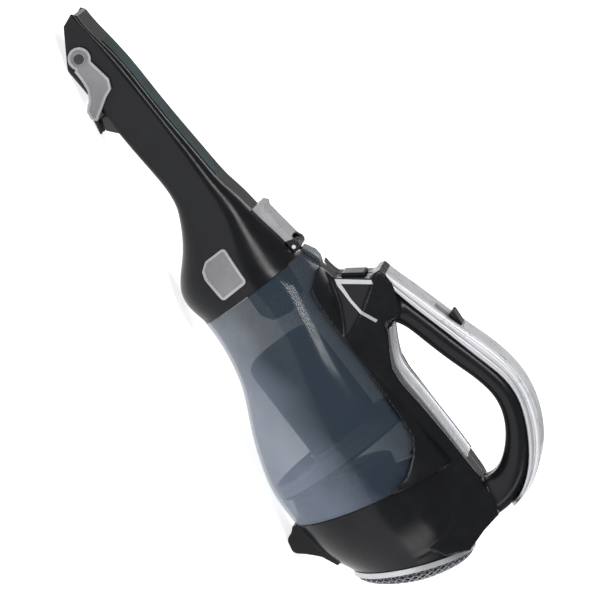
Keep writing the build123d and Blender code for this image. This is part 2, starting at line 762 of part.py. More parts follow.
def brush_yoke():
    """Grey yoke straddling the nozzle tip: a round head and arm each side, joined by a cross bar."""
    head = across(BRUSH_PIVOT, 8.6, 20.6, 20.6 + BRUSH_ARM)
    arm_outline = [(388, 19.5), (371, 26.4), (363.5, 24.8), (359.5, 19), (346, 5), (349, 1.4), (355, 0.7),
                   (362, 5.6), (369, 8), (378, 7), (386, 5)]
    arm = Pos(0, 20.6 + BRUSH_ARM / 2, 0) * extrude(side_face(arm_outline), amount=BRUSH_ARM / 2,
                                                   dir=(0, 1, 0), both=True)
    side = head + arm
    side = side - across(BRUSH_PIVOT, 2.2, 10, 40)
    return side + mirrored(side) + cross_bar()


def brush_pins():
    pin = across(BRUSH_PIVOT, 2.1, 17.2, 24.6) + across(BRUSH_PIVOT, 3.8, 23.4, 24.6)
    return [pin, mirrored(pin)]


def brush_bristles():
    tufts = side_slab([(347.5, 4.6), (349.6, 1.8), (337, 0.6), (335.5, 3.6)], 17.5)
    return largest(tufts - cross_bar())


def brush_pocket():
    """Stepped guard under the nozzle that the bristles stow against."""
    block_outline = [(346, 14), (346, 8.2), (337, 7), (334.6, 10), (329, 18)]
    return side_slab(block_outline, 19) - nozzle_body(-0.05)


def main_parts():
    shell = housing()
    left, right = housing_halves(shell)
    grip = handle()
    write("housing_left", largest(left))
    write("housing_right", largest(right))
    upper = upper_body()
    band = spine_band(grip, upper)
    write("spine_band", band)
    write("spine_cap", spine_cap(grip, upper, band))
    write("opening_trim", opening_trim())
    write("side_trim", side_trim())
    write("bulkhead", bulkhead())
    write("motor_plate", motor_plate())
    write("motor_can", motor_can())
    write("motor_end_bell", motor_end_bell())
    write("motor_magnets", motor_magnets())
    write("motor_bushes", Compound(children=[motor_bush(MOTOR_REAR, MOTOR_REAR + 3, 4.0),
                                             motor_bush(MOTOR_FRONT - 3, MOTOR_FRONT + 1, 4.0)]))
    write("motor_shaft", motor_shaft())
    write("armature", armature())
    write("impeller", impeller())
    write("vent_ring", vent_ring())
    write("vent_grille", vent_grille())
    write("exhaust_foam", exhaust_foam())
    write("battery_cells", Compound(children=battery_cells()))
    write("battery_tabs", Compound(children=battery_tabs()))
    write("battery_tray", battery_tray())
    write("control_board", control_board())
    write("charge_jack", charge_jack())
    write("switch_body", switch_body())
    write("switch_knob", switch_knob())
    write("release_button", release_button())
    write("release_spring", release_spring())
    write("housing_screws", Compound(children=housing_screws()))
    write("dust_bowl", dust_bowl())
    write("hinge_pin", hinge_pin())
    write("filter_frame", filter_frame())
    write("prefilter_screen", prefilter_screen())
    write("pleated_filter", pleated_filter())
    write("filter_gasket", filter_gasket())
    write("nozzle_shell", nozzle_shell())
    write("nozzle_inlay", nozzle_inlay())
    write("hinge_strap", hinge_strap())
    write("nozzle_gasket", nozzle_gasket())
    write("inlet_duct", inlet_duct())
    write("inlet_flap", inlet_flap())
    button = latch_button()
    write("latch_button_left", button)
    write("latch_button_right", mirrored(button))
    spring = latch_spring()
    write("latch_springs", Compound(children=[spring, mirrored(spring)]))
    write("brush_yoke", brush_yoke())
    write("brush_pins", Compound(children=brush_pins()))
    write("brush_bristles", brush_bristles())
    write("brush_pocket", brush_pocket())


if __name__ == "__main__":
    os.makedirs(OUT, exist_ok=True)
    main_parts()
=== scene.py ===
"""Looks of the handheld vacuum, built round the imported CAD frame.

Metres, same frame as the CAD: +X forward to the nozzle tip, +Y to the vacuum's left, +Z up.
"""

import math

import bpy
import bmesh
import numpy as np
from mathutils import Matrix, Vector
from mathutils.kdtree import KDTree


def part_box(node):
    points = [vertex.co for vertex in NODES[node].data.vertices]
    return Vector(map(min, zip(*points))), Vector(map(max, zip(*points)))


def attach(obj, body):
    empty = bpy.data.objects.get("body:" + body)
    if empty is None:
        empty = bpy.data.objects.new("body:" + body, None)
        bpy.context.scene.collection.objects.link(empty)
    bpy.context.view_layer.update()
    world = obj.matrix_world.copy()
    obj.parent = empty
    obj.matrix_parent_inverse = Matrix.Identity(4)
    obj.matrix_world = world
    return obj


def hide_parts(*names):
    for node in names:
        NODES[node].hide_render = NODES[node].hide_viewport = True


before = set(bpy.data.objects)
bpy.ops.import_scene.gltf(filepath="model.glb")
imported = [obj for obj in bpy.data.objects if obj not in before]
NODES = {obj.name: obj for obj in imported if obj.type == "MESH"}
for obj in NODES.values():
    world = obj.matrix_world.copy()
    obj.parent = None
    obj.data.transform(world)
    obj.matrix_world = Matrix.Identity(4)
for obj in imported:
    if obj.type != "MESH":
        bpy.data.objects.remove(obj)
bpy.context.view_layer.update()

MM = 0.001
HEEL_X = -180.0             # side-view places are (distance forward of the heel, height), mm
BOWL_TILT = math.radians(13.0)
HINGE_PIN = (202.5, 97.5)   # side-view place of the nozzle's hinge pin

# ---------------------------------------------------------------- camera and light
AZIMUTH = math.radians(172.0)
ELEVATION = math.radians(12.0)
ROLL = math.radians(66.8)
DISTANCE = 3.0
VIEW_WIDTH = 0.444
SENSOR_WIDTH = 36.0
VIEW_CENTRE = Vector((-0.0177, 0.0, 0.0816))
LIGHT_TARGET = Vector((0.0, 0.0, 0.08))


def make_camera():
    flat = math.cos(ELEVATION)
    back = Vector((math.sin(AZIMUTH) * flat, -math.cos(AZIMUTH) * flat, math.sin(ELEVATION)))
    level = Vector((0, 0, 1)).cross(back).normalized()
    rise = back.cross(level)
    right = level * math.cos(ROLL) + rise * math.sin(ROLL)
    up = rise * math.cos(ROLL) - level * math.sin(ROLL)
    data = bpy.data.cameras.new("camera")
    data.sensor_width = SENSOR_WIDTH
    data.lens = SENSOR_WIDTH * DISTANCE / VIEW_WIDTH
    data.clip_end = 50.0
    camera = bpy.data.objects.new("camera", data)
    bpy.context.scene.collection.objects.link(camera)
    turn = Matrix((right, up, back)).transposed().to_4x4()
    camera.matrix_world = Matrix.Translation(VIEW_CENTRE + back * DISTANCE) @ turn
    bpy.context.scene.camera = camera


def area_light(name, place, size, power):
    data = bpy.data.lights.new(name, "AREA")
    data.shape = "RECTANGLE"
    data.size, data.size_y = size
    data.energy = power
    light = bpy.data.objects.new(name, data)
    bpy.context.scene.collection.objects.link(light)
    light.location = place
    aim = (LIGHT_TARGET - Vector(place)).normalized()
    light.rotation_euler = aim.to_track_quat("-Z", "Y").to_euler()


def make_world():
    world = bpy.data.worlds.new("studio")
    world.use_nodes = True
    back = world.node_tree.nodes["Background"]
    back.inputs["Color"].default_value = (1, 1, 1, 1)
    back.inputs["Strength"].default_value = 0.3
    bpy.context.scene.world = world


make_camera()
make_world()
area_light("key", (0.7, 1.5, 1.7), (1.2, 0.5), 24)
area_light("fill", (-1.6, 1.1, 0.6), (0.4, 1.2), 7)
area_light("back", (0.0, -1.6, 1.5), (1.8, 0.8), 18)
bpy.context.scene.view_settings.view_transform = "Standard"


# ---------------------------------------------------------------- material helpers
class Paint:
    """A node material built round one principled shader."""

    def __init__(self, name):
        self.material = bpy.data.materials.new(name)
        self.material.use_nodes = True
        self.tree = self.material.node_tree
        self.shader = self.tree.nodes["Principled BSDF"]
        self.coords = self.add("ShaderNodeTexCoord").outputs["Object"]

    def add(self, kind, **settings):
        node = self.tree.nodes.new(kind)
        for key, value in settings.items():
            setattr(node, key, value)
        return node

    def link(self, source, target):
        self.tree.links.new(source, target)

    def put(self, **values):
        for key, value in values.items():
            self.shader.inputs[key.replace("_", " ")].default_value = value

    def noise(self, scale, detail, rough=0.55):
        node = self.add("ShaderNodeTexNoise")
        node.inputs["Scale"].default_value = scale
        node.inputs["Detail"].default_value = detail
        node.inputs["Roughness"].default_value = rough
        self.link(self.coords, node.inputs["Vector"])
        return node.outputs["Fac"]

    def ramp(self, fac, low, high, stops=(0.35, 0.65)):
        node = self.add("ShaderNodeValToRGB")
        node.color_ramp.elements[0].position = stops[0]
        node.color_ramp.elements[1].position = stops[1]
        node.color_ramp.elements[0].color = low
        node.color_ramp.elements[1].color = high
        self.link(fac, node.inputs["Fac"])
        return node.outputs["Color"]

    def spread(self, fac, low, high):
        node = self.add("ShaderNodeMapRange")
        node.inputs["From Min"].default_value = 0.3
        node.inputs["From Max"].default_value = 0.7
        node.inputs["To Min"].default_value = low
        node.inputs["To Max"].default_value = high
        self.link(fac, node.inputs["Value"])
        return node.outputs["Result"]

    def bump(self, height, strength, distance):
        node = self.add("ShaderNodeBump")
        node.inputs["Strength"].default_value = strength
        node.inputs["Distance"].default_value = distance
        self.link(height, node.inputs["Height"])
        self.link(node.outputs["Normal"], self.shader.inputs["Normal"])


def tint(rgb, factor):
    return tuple(min(1.0, c * factor) for c in rgb) + (1.0,)


def moulded(name, rgb, rough, grain=900.0, depth=0.00003, strength=0.12, coat=0.0, metallic=0.0,
            vary=0.12, shine=0.5):
    """Moulded plastic or paint: faint mottling, uneven gloss and a fine moulded grain."""
    paint = Paint(name)
    cloud = paint.noise(45.0, 3.0)
    colour = paint.ramp(cloud, tint(rgb, 1 - vary), tint(rgb, 1 + vary))
    paint.link(colour, paint.shader.inputs["Base Color"])
    smear = paint.noise(90.0, 5.0, 0.6)
    paint.link(paint.spread(smear, rough * 0.8, rough * 1.25), paint.shader.inputs["Roughness"])
    paint.bump(paint.noise(grain, 2.0), strength, depth)
    paint.put(Metallic=metallic, Coat_Weight=coat, Coat_Roughness=0.06, Specular_IOR_Level=shine)
    return paint.material


def set_material(node, material):
    mesh = NODES[node].data
    mesh.materials.clear()
    mesh.materials.append(material)
    for face in mesh.polygons:
        face.material_index = 0


# ---------------------------------------------------------------- mesh helpers
def new_object(name, mesh, material, body, replaced=()):
    """Puts a finished mesh in the scene as a piece of the vacuum."""
    piece = bpy.data.objects.new(name, mesh)
    bpy.context.scene.collection.objects.link(piece)
    mesh.materials.append(material)
    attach(piece, body)
    if replaced:
        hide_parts(*replaced)
    return piece


def applied(mesh, *modifiers):
    """A new mesh: the given one with modifiers (kind, settings) applied in turn."""
    holder = bpy.data.objects.new("holder", mesh)
    bpy.context.scene.collection.objects.link(holder)
    for kind, settings in modifiers:
        modifier = holder.modifiers.new(kind, kind)
        for key, value in settings.items():
            setattr(modifier, key, value)
    graph = bpy.context.evaluated_depsgraph_get()
    result = bpy.data.meshes.new_from_object(holder.evaluated_get(graph))
    bpy.data.objects.remove(holder)
    result.materials.clear()
    return result


def smooth_shading(mesh):
    for face in mesh.polygons:
        face.use_smooth = True
    return mesh


def softened(node, voxel, passes):
    """The CAD node's shape with its moulded edges rounded."""
    steps = [("REMESH", {"mode": "VOXEL", "voxel_size": voxel * MM, "adaptivity": 0.0}),
             ("SMOOTH", {"factor": 0.5, "iterations": passes})]
    return smooth_shading(applied(NODES[node].data.copy(), *steps))


def mesh_from(vertices, faces):
    mesh = bpy.data.meshes.new("mesh")
    mesh.from_pydata([tuple(v) for v in vertices], [], faces)
    mesh.update()
    return mesh


# ---------------------------------------------------------------- materials
BLACK = (0.008, 0.0085, 0.010)
SILVER = (0.50, 0.505, 0.53)
PEARL = (0.62, 0.625, 0.65)

gloss_black = moulded("gloss_black", BLACK, 0.22, shine=0.19)
matt_black = moulded("matt_black", (0.018, 0.018, 0.020), 0.5, grain=1400.0, depth=0.00005, strength=0.3)
grey_plastic = moulded("grey_plastic", (0.19, 0.188, 0.20), 0.34, grain=1200.0, strength=0.2)
# Light grey: the hinge strap's own colour, and on the raised rims of the side buttons and brush lever a
# painted highlight.
pale_grey_and_rim_highlight = moulded("pale_grey_and_rim_highlight", (0.36, 0.36, 0.38), 0.3, grain=1200.0, strength=0.15)
silver_paint = moulded("silver_paint", SILVER, 0.34, metallic=0.55, grain=2400.0, strength=0.03, vary=0.03)
pearl_paint = moulded("pearl_paint", PEARL, 0.3, metallic=0.35, grain=2600.0, strength=0.05, coat=0.4,
                      vary=0.05)
dome_grey = moulded("dome_grey", (0.24, 0.245, 0.265), 0.4, metallic=0.4, grain=2000.0, strength=0.1)
teal_strip = moulded("teal_strip", (0.004, 0.022, 0.025), 0.3, shine=0.12, vary=0.6, grain=300.0)
frame_grey = moulded("frame_grey", (0.27, 0.30, 0.34), 0.4)
rubber = moulded("rubber", (0.02, 0.02, 0.021), 0.7, grain=1600.0, depth=0.00008, strength=0.4)
steel = moulded("steel", (0.52, 0.53, 0.55), 0.28, metallic=1.0, grain=1500.0)
bronze = moulded("bronze", (0.42, 0.30, 0.14), 0.42, metallic=1.0, grain=2500.0, strength=0.4)
ferrite = moulded("ferrite", (0.05, 0.05, 0.055), 0.6, grain=1800.0, strength=0.5)
copper = moulded("copper", (0.55, 0.24, 0.10), 0.35, metallic=1.0, grain=1300.0, strength=0.6)
board = moulded("board", (0.015, 0.10, 0.05), 0.35, grain=800.0)
wrap = moulded("wrap", (0.03, 0.14, 0.25), 0.25, coat=0.3)
foam = moulded("foam", (0.03, 0.03, 0.034), 0.95, grain=700.0, depth=0.0006, strength=1.0)
paper = moulded("paper", (0.62, 0.60, 0.55), 0.9, grain=1500.0, depth=0.0001, strength=0.5)
screen_mesh = moulded("screen_mesh", (0.022, 0.025, 0.03), 0.55, grain=2500.0, strength=0.4)
screen_cloth = moulded("screen_cloth", (0.030, 0.036, 0.045), 0.7, grain=3000.0, strength=0.5)
nylon = moulded("nylon", (0.02, 0.02, 0.022), 0.4, grain=2500.0)


def smoky_plastic():
    """Clear smoke-tinted plastic, denser at its edges; painted light makes it paler and clearer along its
    belly, painted shade darker and denser toward its back.
    """
    paint = Paint("smoky_plastic")
    height = paint.add("ShaderNodeVectorMath", operation="DOT_PRODUCT")
    height.inputs[1].default_value = (math.sin(BOWL_TILT), 0.0, math.cos(BOWL_TILT))
    wave = paint.add("ShaderNodeTexNoise")
    wave.inputs["Scale"].default_value = 24.0
    wave.inputs["Detail"].default_value = 3.0
    paint.link(paint.coords, wave.inputs["Vector"])
    sway = paint.add("ShaderNodeVectorMath", operation="MULTIPLY_ADD")
    sway.inputs[1].default_value = (0.03, 0.03, 0.03)
    paint.link(wave.outputs["Color"], sway.inputs[0])
    paint.link(paint.coords, sway.inputs[2])
    paint.link(sway.outputs["Vector"], height.inputs[0])
    # Painted light and shade: share runs from 0 along the bowl's lower side (paler, clearer) to 1 toward
    # its top (darker, denser).
    share = paint.add("ShaderNodeMapRange")
    share.inputs["From Min"].default_value = 0.022
    share.inputs["From Max"].default_value = 0.088
    paint.link(height.outputs["Value"], share.inputs["Value"])
    # The belly colour is a painted light tone, the back colour a painted shade tone.
    painted_light_belly, back = (0.225, 0.265, 0.345, 1), (0.036, 0.052, 0.072, 1)
    colour = paint.ramp(share.outputs["Result"], painted_light_belly, back, (0.05, 0.6))
    body = paint.add("ShaderNodeMapRange")
    body.inputs["To Min"].default_value = 0.36
    body.inputs["To Max"].default_value = 0.66
    paint.link(share.outputs["Result"], body.inputs["Value"])
    edge = paint.add("ShaderNodeLayerWeight")
    edge.inputs["Blend"].default_value = 0.12
    rim = paint.add("ShaderNodeMix", data_type="RGBA")
    rim.inputs["B"].default_value = (0.02, 0.026, 0.034, 1)
    paint.link(edge.outputs["Facing"], rim.inputs["Factor"])
    paint.link(colour, rim.inputs["A"])
    paint.link(rim.outputs["Result"], paint.shader.inputs["Base Color"])
    cover = paint.add("ShaderNodeMapRange")
    cover.inputs["To Max"].default_value = 0.95
    paint.link(edge.outputs["Facing"], cover.inputs["Value"])
    paint.link(body.outputs["Result"], cover.inputs["To Min"])
    paint.link(cover.outputs["Result"], paint.shader.inputs["Alpha"])
    smear = paint.noise(60.0, 5.0, 0.6)
    paint.link(paint.spread(smear, 0.08, 0.16), paint.shader.inputs["Roughness"])
    paint.bump(paint.noise(22.0, 2.0), 0.08, 0.0004)
    paint.put(Specular_IOR_Level=0.2)
    return paint.material


smoky = smoky_plastic()

CAD_FINISH = {
    gloss_black: ["switch_knob", "release_button", "nozzle_shell", "housing_left", "housing_right"],
    matt_black: ["bulkhead", "motor_plate", "motor_end_bell", "battery_tray", "charge_jack", "switch_body",
                 "impeller", "inlet_duct", "brush_pins", "brush_pocket"],
    silver_paint: ["side_trim", "vent_ring", "spine_band", "opening_trim"],
    dome_grey: ["vent_grille"],
    grey_plastic: ["latch_button_left", "latch_button_right", "brush_yoke"],
    pale_grey_and_rim_highlight: ["hinge_strap"],
    screen_mesh: ["prefilter_screen"],
    nylon: ["brush_bristles"],
    pearl_paint: ["spine_cap"],
    teal_strip: ["nozzle_inlay"],
    frame_grey: ["filter_frame"],
    rubber: ["filter_gasket", "nozzle_gasket", "inlet_flap"],
    steel: ["motor_can", "motor_shaft", "battery_tabs", "release_spring", "latch_springs", "housing_screws",
            "hinge_pin"],
    bronze: ["motor_bushes"],
    ferrite: ["motor_magnets"],
    copper: ["armature"],
    board: ["control_board"],
    wrap: ["battery_cells"],
    foam: ["exhaust_foam"],
    paper: ["pleated_filter"],
    smoky: ["dust_bowl"],
}
for material, nodes in CAD_FINISH.items():
    for node in nodes:
        set_material(node, material)


# ---------------------------------------------------------------- the smooth shell of bowl and barrel

def in_bowl(u, v):
    """Side-view place of a point given along and across the bowl's tilted axis."""
    along, across = math.cos(BOWL_TILT), math.sin(BOWL_TILT)
    return (55.0 + u * along + v * across, 62.0 - u * across + v * along)


# Sections from the seam back to the vent: low place, high place, half width.
BOWL_ROWS = [(128.4, -23.2, 68.7, 44.0), (112, -23.6, 73.6, 47.0), (93, -26.2, 73.9, 50.5),
             (74, -31.4, 73.2, 54.0), (55, -40.2, 72.5, 57.0), (37, -48.9, 71.9, 59.0),
             (18, -56.0, 71.2, 60.0), (-1, -61.3, 70.6, 60.0), (-22, -62.6, 69.8, 60.0)]
SHELL_ROWS = [in_bowl(u, low) + in_bowl(u, high) + (half,) for u, low, high, half in BOWL_ROWS]
# The barrel's rear opening: lower and upper end in side view, and half width.
VENT_LOW = (-39.0, 33.5)
VENT_HIGH = (-55.5, 124.5)
VENT_HALF_WIDTH = 42.0
VENT_STEP = 4.2             # how far the dome's foot stands out from that opening
SHELL_ROWS += [(-3.0, 12.5, -4.0, 137.0, 58.0), (-22.0, 21.0, -32.0, 134.0, 51.0),
               VENT_LOW + VENT_HIGH + (VENT_HALF_WIDTH,)]


class SmoothRows:
    """A natural cubic curve through rows of numbers."""

    def __init__(self, rows):
        self.rows = np.array(rows, float)
        steps = np.diff(self.rows, axis=0)
        gaps = np.hypot(steps[:, 0] + steps[:, 2], steps[:, 1] + steps[:, 3]) / 2
        self.knots = np.concatenate([[0.0], np.cumsum(gaps)])
        count = len(self.knots)
        system = np.eye(count)
        right = np.zeros_like(self.rows)
        for i in range(1, count - 1):
            before, after = gaps[i - 1], gaps[i]
            system[i, i - 1:i + 2] = (before, 2 * (before + after), after)
            right[i] = 6 * (steps[i] / after - steps[i - 1] / before)
        self.bend = np.linalg.solve(system, right)

    def at(self, t):
        t = np.clip(np.asarray(t, float), 0.0, self.knots[-1])
        i = np.clip(np.searchsorted(self.knots, t, side="right") - 1, 0, len(self.knots) - 2)
        gap = (self.knots[i + 1] - self.knots[i])[..., None]
        b = (t - self.knots[i])[..., None] / gap
        a = 1 - b
        curve = a * self.rows[i] + b * self.rows[i + 1]
        return curve + ((a ** 3 - a) * self.bend[i] + (b ** 3 - b) * self.bend[i + 1]) * gap ** 2 / 6


SHELL = SmoothRows(SHELL_ROWS)


def shell_points(t, angle, inset=0.0):
    """Points on the shell, in mm from the heel line, for arrays of places and angles."""
    row = SHELL.at(t)
    low, high, half = row[..., 0:2], row[..., 2:4], row[..., 4]
    middle = (low + high) / 2
    rise = (high - low) / 2
    tall = np.hypot(rise[..., 0], rise[..., 1])
    share = (tall - inset) / tall * np.sin(angle)
    side = (half - inset) * np.cos(angle)
    return np.stack([middle[..., 0] + rise[..., 0] * share, side,
                     middle[..., 1] + rise[..., 1] * share], axis=-1)


def to_scene(points):
    return (points + np.array([HEEL_X, 0.0, 0.0])) * MM


def bowl_shell(wall=2.4, rear=11.4, columns=176, rows=110):
    """Clear bowl: smooth outer and inner walls joined by a rim at each end."""
    angle = np.linspace(0, 2 * np.pi, columns, endpoint=False)
    track = np.linspace(0.1, SHELL.knots[-1], 900)
    surfaces = []
    for inset in (0.0, wall):
        grid_t, grid_a = np.meshgrid(track, angle, indexing="ij")
        places = shell_points(grid_t, grid_a, inset)
        first = np.argmax(places[..., 0] < rear, axis=0)
        ends = []
        for column, row in enumerate(first):
            ahead, behind = places[row - 1, column, 0], places[row, column, 0]
            step = track[row] - track[row - 1]
            ends.append(track[row - 1] + step * (ahead - rear) / (ahead - behind))
        share = np.linspace(0, 1, rows)[:, None]
        grid = 0.1 + (np.array(ends)[None, :] - 0.1) * share
        surfaces.append(shell_points(grid, np.broadcast_to(angle, grid.shape), inset))
    vertices = to_scene(np.concatenate([surface.reshape(-1, 3) for surface in surfaces]))
    faces = []
    inner = rows * columns
    for column in range(columns):
        beside = (column + 1) % columns
        for row in range(rows - 1):
            a, b = row * columns, (row + 1) * columns
            faces.append((a + column, b + column, b + beside, a + beside))
            faces.append((inner + a + column, inner + a + beside, inner + b + beside, inner + b + column))
        last = (rows - 1) * columns
        faces.append((column, beside, inner + beside, inner + column))
        faces.append((last + column, inner + last + column, inner + last + beside, last + beside))
    return sharp_edges(mesh_from(vertices, faces))


def sharp_edges(mesh, angle=40.0):
    smooth_shading(mesh)
    mesh.set_sharp_from_angle(angle=math.radians(angle))
    return mesh


def prism(outline, half_width):
    """A side-view outline (mm from the heel line) made solid across the vacuum, edges eased."""
    count = len(outline)
    vertices = [((x + HEEL_X) * MM, side * half_width * MM, z * MM) for side in (-1, 1) for x, z in outline]
    faces = [tuple(range(count)), tuple(range(2 * count - 1, count - 1, -1))]
    for i in range(count):
        j = (i + 1) % count
        faces.append((i, count + i, count + j, j))
    mesh = mesh_from(vertices, faces)
    work = bmesh.new()
    work.from_mesh(mesh)
    bmesh.ops.recalc_face_normals(work, faces=work.faces)
    work.to_mesh(mesh)
    work.free()
    eased = ("BEVEL", {"width": 0.4 * MM, "segments": 2, "limit_method": "ANGLE"})
    return sharp_edges(applied(mesh, eased))


def hinge_eye():
    """Round knuckle of the bowl on the hinge pin."""
    radius = 4.2
    turns = [math.radians(angle) for angle in range(0, 360, 12)]
    ring = [(HINGE_PIN[0] + radius * math.sin(a), HINGE_PIN[1] + radius * math.cos(a)) for a in turns]
    return prism(ring, 7.4)


def hinge_web():
    """Clear web that carries the knuckle from the bowl's top."""
    outline = [(181, 108.6), (187, 109.2), (192, 107.6), (199, 101.6), (198, 98.6), (190.5, 103.4)]
    return prism(outline, 6.8)


new_object("bowl_shell", bowl_shell(), smoky, "bowl", ["dust_bowl"])
new_object("bowl_web", hinge_web(), smoky, "bowl", ["dust_bowl"])
new_object("bowl_knuckle", hinge_eye(), gloss_black, "bowl", ["dust_bowl"])


# ---------------------------------------------------------------- housing and handle
def onto_barrel(mesh, reach=1.1):
    """Draws the outer skin of the barrel onto the smooth shell, so that no facet shows."""
    flat = np.empty(len(mesh.vertices) * 3)
    mesh.vertices.foreach_get("co", flat)
    places = flat.reshape(-1, 3) / MM - np.array([HEEL_X, 0.0, 0.0])
    chosen = np.where(places[:, 0] < 12.0)[0]
    track = np.linspace(SHELL.knots[-4] - 30, SHELL.knots[-1], 160)
    rows = SHELL.at(track)
    middle = (rows[:, 0:2] + rows[:, 2:4]) / 2
    rise = (rows[:, 2:4] - rows[:, 0:2]) / 2
    tall = np.hypot(rise[:, 0], rise[:, 1])
    normal = np.stack([rise[:, 1], -rise[:, 0]], axis=-1) / tall[:, None]
    flat_places = places[chosen][:, [0, 2]]
    ahead = flat_places @ normal.T - np.sum(middle * normal, axis=1)
    spot = np.argmin(np.abs(ahead), axis=1)
    spot = np.clip(spot, 1, len(track) - 2)
    pick = np.arange(len(chosen))
    slope = (ahead[pick, spot + 1] - ahead[pick, spot - 1]) / (track[spot + 1] - track[spot - 1])
    t = track[spot] - ahead[pick, spot] / np.where(np.abs(slope) < 1e-6, 1e-6, slope)
    row = SHELL.at(t)
    centre = (row[:, 0:2] + row[:, 2:4]) / 2
    arm = (row[:, 2:4] - row[:, 0:2]) / 2
    length = np.hypot(arm[:, 0], arm[:, 1])
    along_arm = np.sum((flat_places - centre) * arm, axis=1) / length
    across = places[chosen][:, 1]
    radius = np.sqrt((along_arm / length) ** 2 + (across / row[:, 4]) ** 2)
    off = (radius - 1) * np.hypot(along_arm, across)
    weight = np.clip((reach - np.abs(off)) / 0.4, 0, 1)
    weight[(t < track[0]) | (t > track[-1] - 0.6) | (radius < 0.5)] = 0
    pull = 1 + weight * (1 / np.maximum(radius, 0.1) - 1)
    moved = centre + arm / length[:, None] * (along_arm * pull)[:, None]
    moved += flat_places - centre - arm / length[:, None] * along_arm[:, None]
    places[chosen, 0] = moved[:, 0]
    places[chosen, 2] = moved[:, 1]
    places[chosen, 1] = across * pull
    mesh.vertices.foreach_set("co", to_scene(places).reshape(-1))
    mesh.update()
    return mesh


for side in ("left", "right"):
    node = "housing_" + side
    skin = onto_barrel(softened(node, 0.9, 14))
    new_object("housing_skin_" + side, skin, gloss_black, "main_body", [node])

OPENING_PATH = [(119.5, 137.6), (116, 135.6), (104, 132), (92, 129.3), (80, 130.6), (60, 136.2),
                (30, 143.6), (8, 148.5)]


def curve_places(places, count):
    """Evenly sampled smooth curve through side-view places."""
    knots = [Vector(place) for place in places]
    knots = [knots[0] * 2 - knots[1]] + knots + [knots[-1] * 2 - knots[-2]]
    curve = []
    spans = len(places) - 1
    for step in range(count):
        t = spans * step / (count - 1)
        i = min(int(t), spans - 1)
        f = t - i
        a, b, c, d = knots[i:i + 4]
        curve.append(0.5 * (2 * b + (c - a) * f + (2 * a - 5 * b + 4 * c - d) * f ** 2
                            + (3 * b - a - 3 * c + d) * f ** 3))
    return curve


def ribbon(places, half_width, count=120):
    """Trim strip along the body with a rounded bead down each side of a sunken face."""
    bead = [(1.0, -0.4), (1.0, 1.3), (0.97, 1.9), (0.93, 2.15), (0.885, 1.9), (0.86, 1.4), (0.8, 1.1)]
    section = [(-across, lift) for across, lift in bead] + bead[::-1]
    curve = curve_places(places, count)
    vertices, faces = [], []
    for place in curve:
        for across, lift in section:
            spot = (place.x + HEEL_X, across * half_width, place.y + lift)
            vertices.append(tuple(part * MM for part in spot))
    size = len(section)
    for row in range(count - 1):
        for i in range(size):
            j = (i + 1) % size
            a, b = row * size, (row + 1) * size
            faces.append((a + i, a + j, b + j, b + i))
    faces.append(tuple(range(size)))
    faces.append(tuple((count - 1) * size + i for i in reversed(range(size))))
    return sharp_edges(mesh_from(vertices, faces), 60.0)


new_object("opening_lip", ribbon(OPENING_PATH, 15.0), silver_paint, "main_body", ["opening_trim"])


# ---------------------------------------------------------------- exhaust dome
def vent_frame():
    """Middle, rise and outward direction of the barrel's rear opening, with its half height."""
    low, high = Vector((VENT_LOW[0], 0, VENT_LOW[1])), Vector((VENT_HIGH[0], 0, VENT_HIGH[1]))
    rise = (high - low).normalized()
    out = Vector((-rise.z, 0, rise.x))
    return (low + high) / 2, rise, out, (high - low).length / 2


def vent_dome(columns=42, deep=12.8, rib=1.25):
    """Domed exhaust cover: ribs crossed in diamonds from the rim inward, closed round its middle."""
    middle, rise, out, tall = vent_frame()
    rim_width = 1.6
    wide = VENT_HALF_WIDTH - rim_width
    tall -= rim_width
    vertices, faces = [], []

    def ring(turn, shift):
        size, depth = math.cos(turn), deep * math.sin(turn) + VENT_STEP
        for column in range(columns):
            angle = 2 * math.pi * (column + shift) / columns
            place = middle + rise * tall * size * math.sin(angle) + out * depth
            place += Vector((0, wide * size * math.cos(angle), 0))
            vertices.append(((place.x + HEEL_X) * MM, place.y * MM, place.z * MM))

    levels = (0.03, 0.21, 0.39, 0.57, 0.75, 0.91)
    for row, level in enumerate(levels):
        ring(math.asin(level), 0.5 * (row % 2))
    for row in range(len(levels) - 2):
        for column in range(columns):
            start = row * columns
            if row % 2 == 0:
                left, right = (column - 1) % columns, column
            else:
                left, right = column, (column + 1) % columns
            faces.append((start + column, start + columns + right, start + 2 * columns + column,
                          start + columns + left))
    lattice = applied(mesh_from(vertices, faces),
                      ("WIREFRAME", {"thickness": rib * MM, "use_even_offset": True}),
                      ("BEVEL", {"width": 0.2 * MM, "segments": 1, "limit_method": "ANGLE"}))
    vertices, faces = [], []
    cap_turns = [math.radians(a) for a in (58, 62, 66, 70, 74, 78, 82, 86)]
    for turn in cap_turns:
        ring(turn, 0.0)
    for row in range(len(cap_turns) - 1):
        for column in range(columns):
            beside = (column + 1) % columns
            a, b = row * columns, (row + 1) * columns
            faces.append((a + column, a + beside, b + beside, b + column))
    faces.append(tuple((len(cap_turns) - 1) * columns + column for column in range(columns)))
    cap = applied(mesh_from(vertices, faces), ("SOLIDIFY", {"thickness": 1.6 * MM, "offset": 0.0}))
    joined = bmesh.new()
    joined.from_mesh(lattice)
    joined.from_mesh(cap)
    result = bpy.data.meshes.new("vent_dome")
    joined.to_mesh(result)
    joined.free()
    return sharp_edges(result, 50.0)


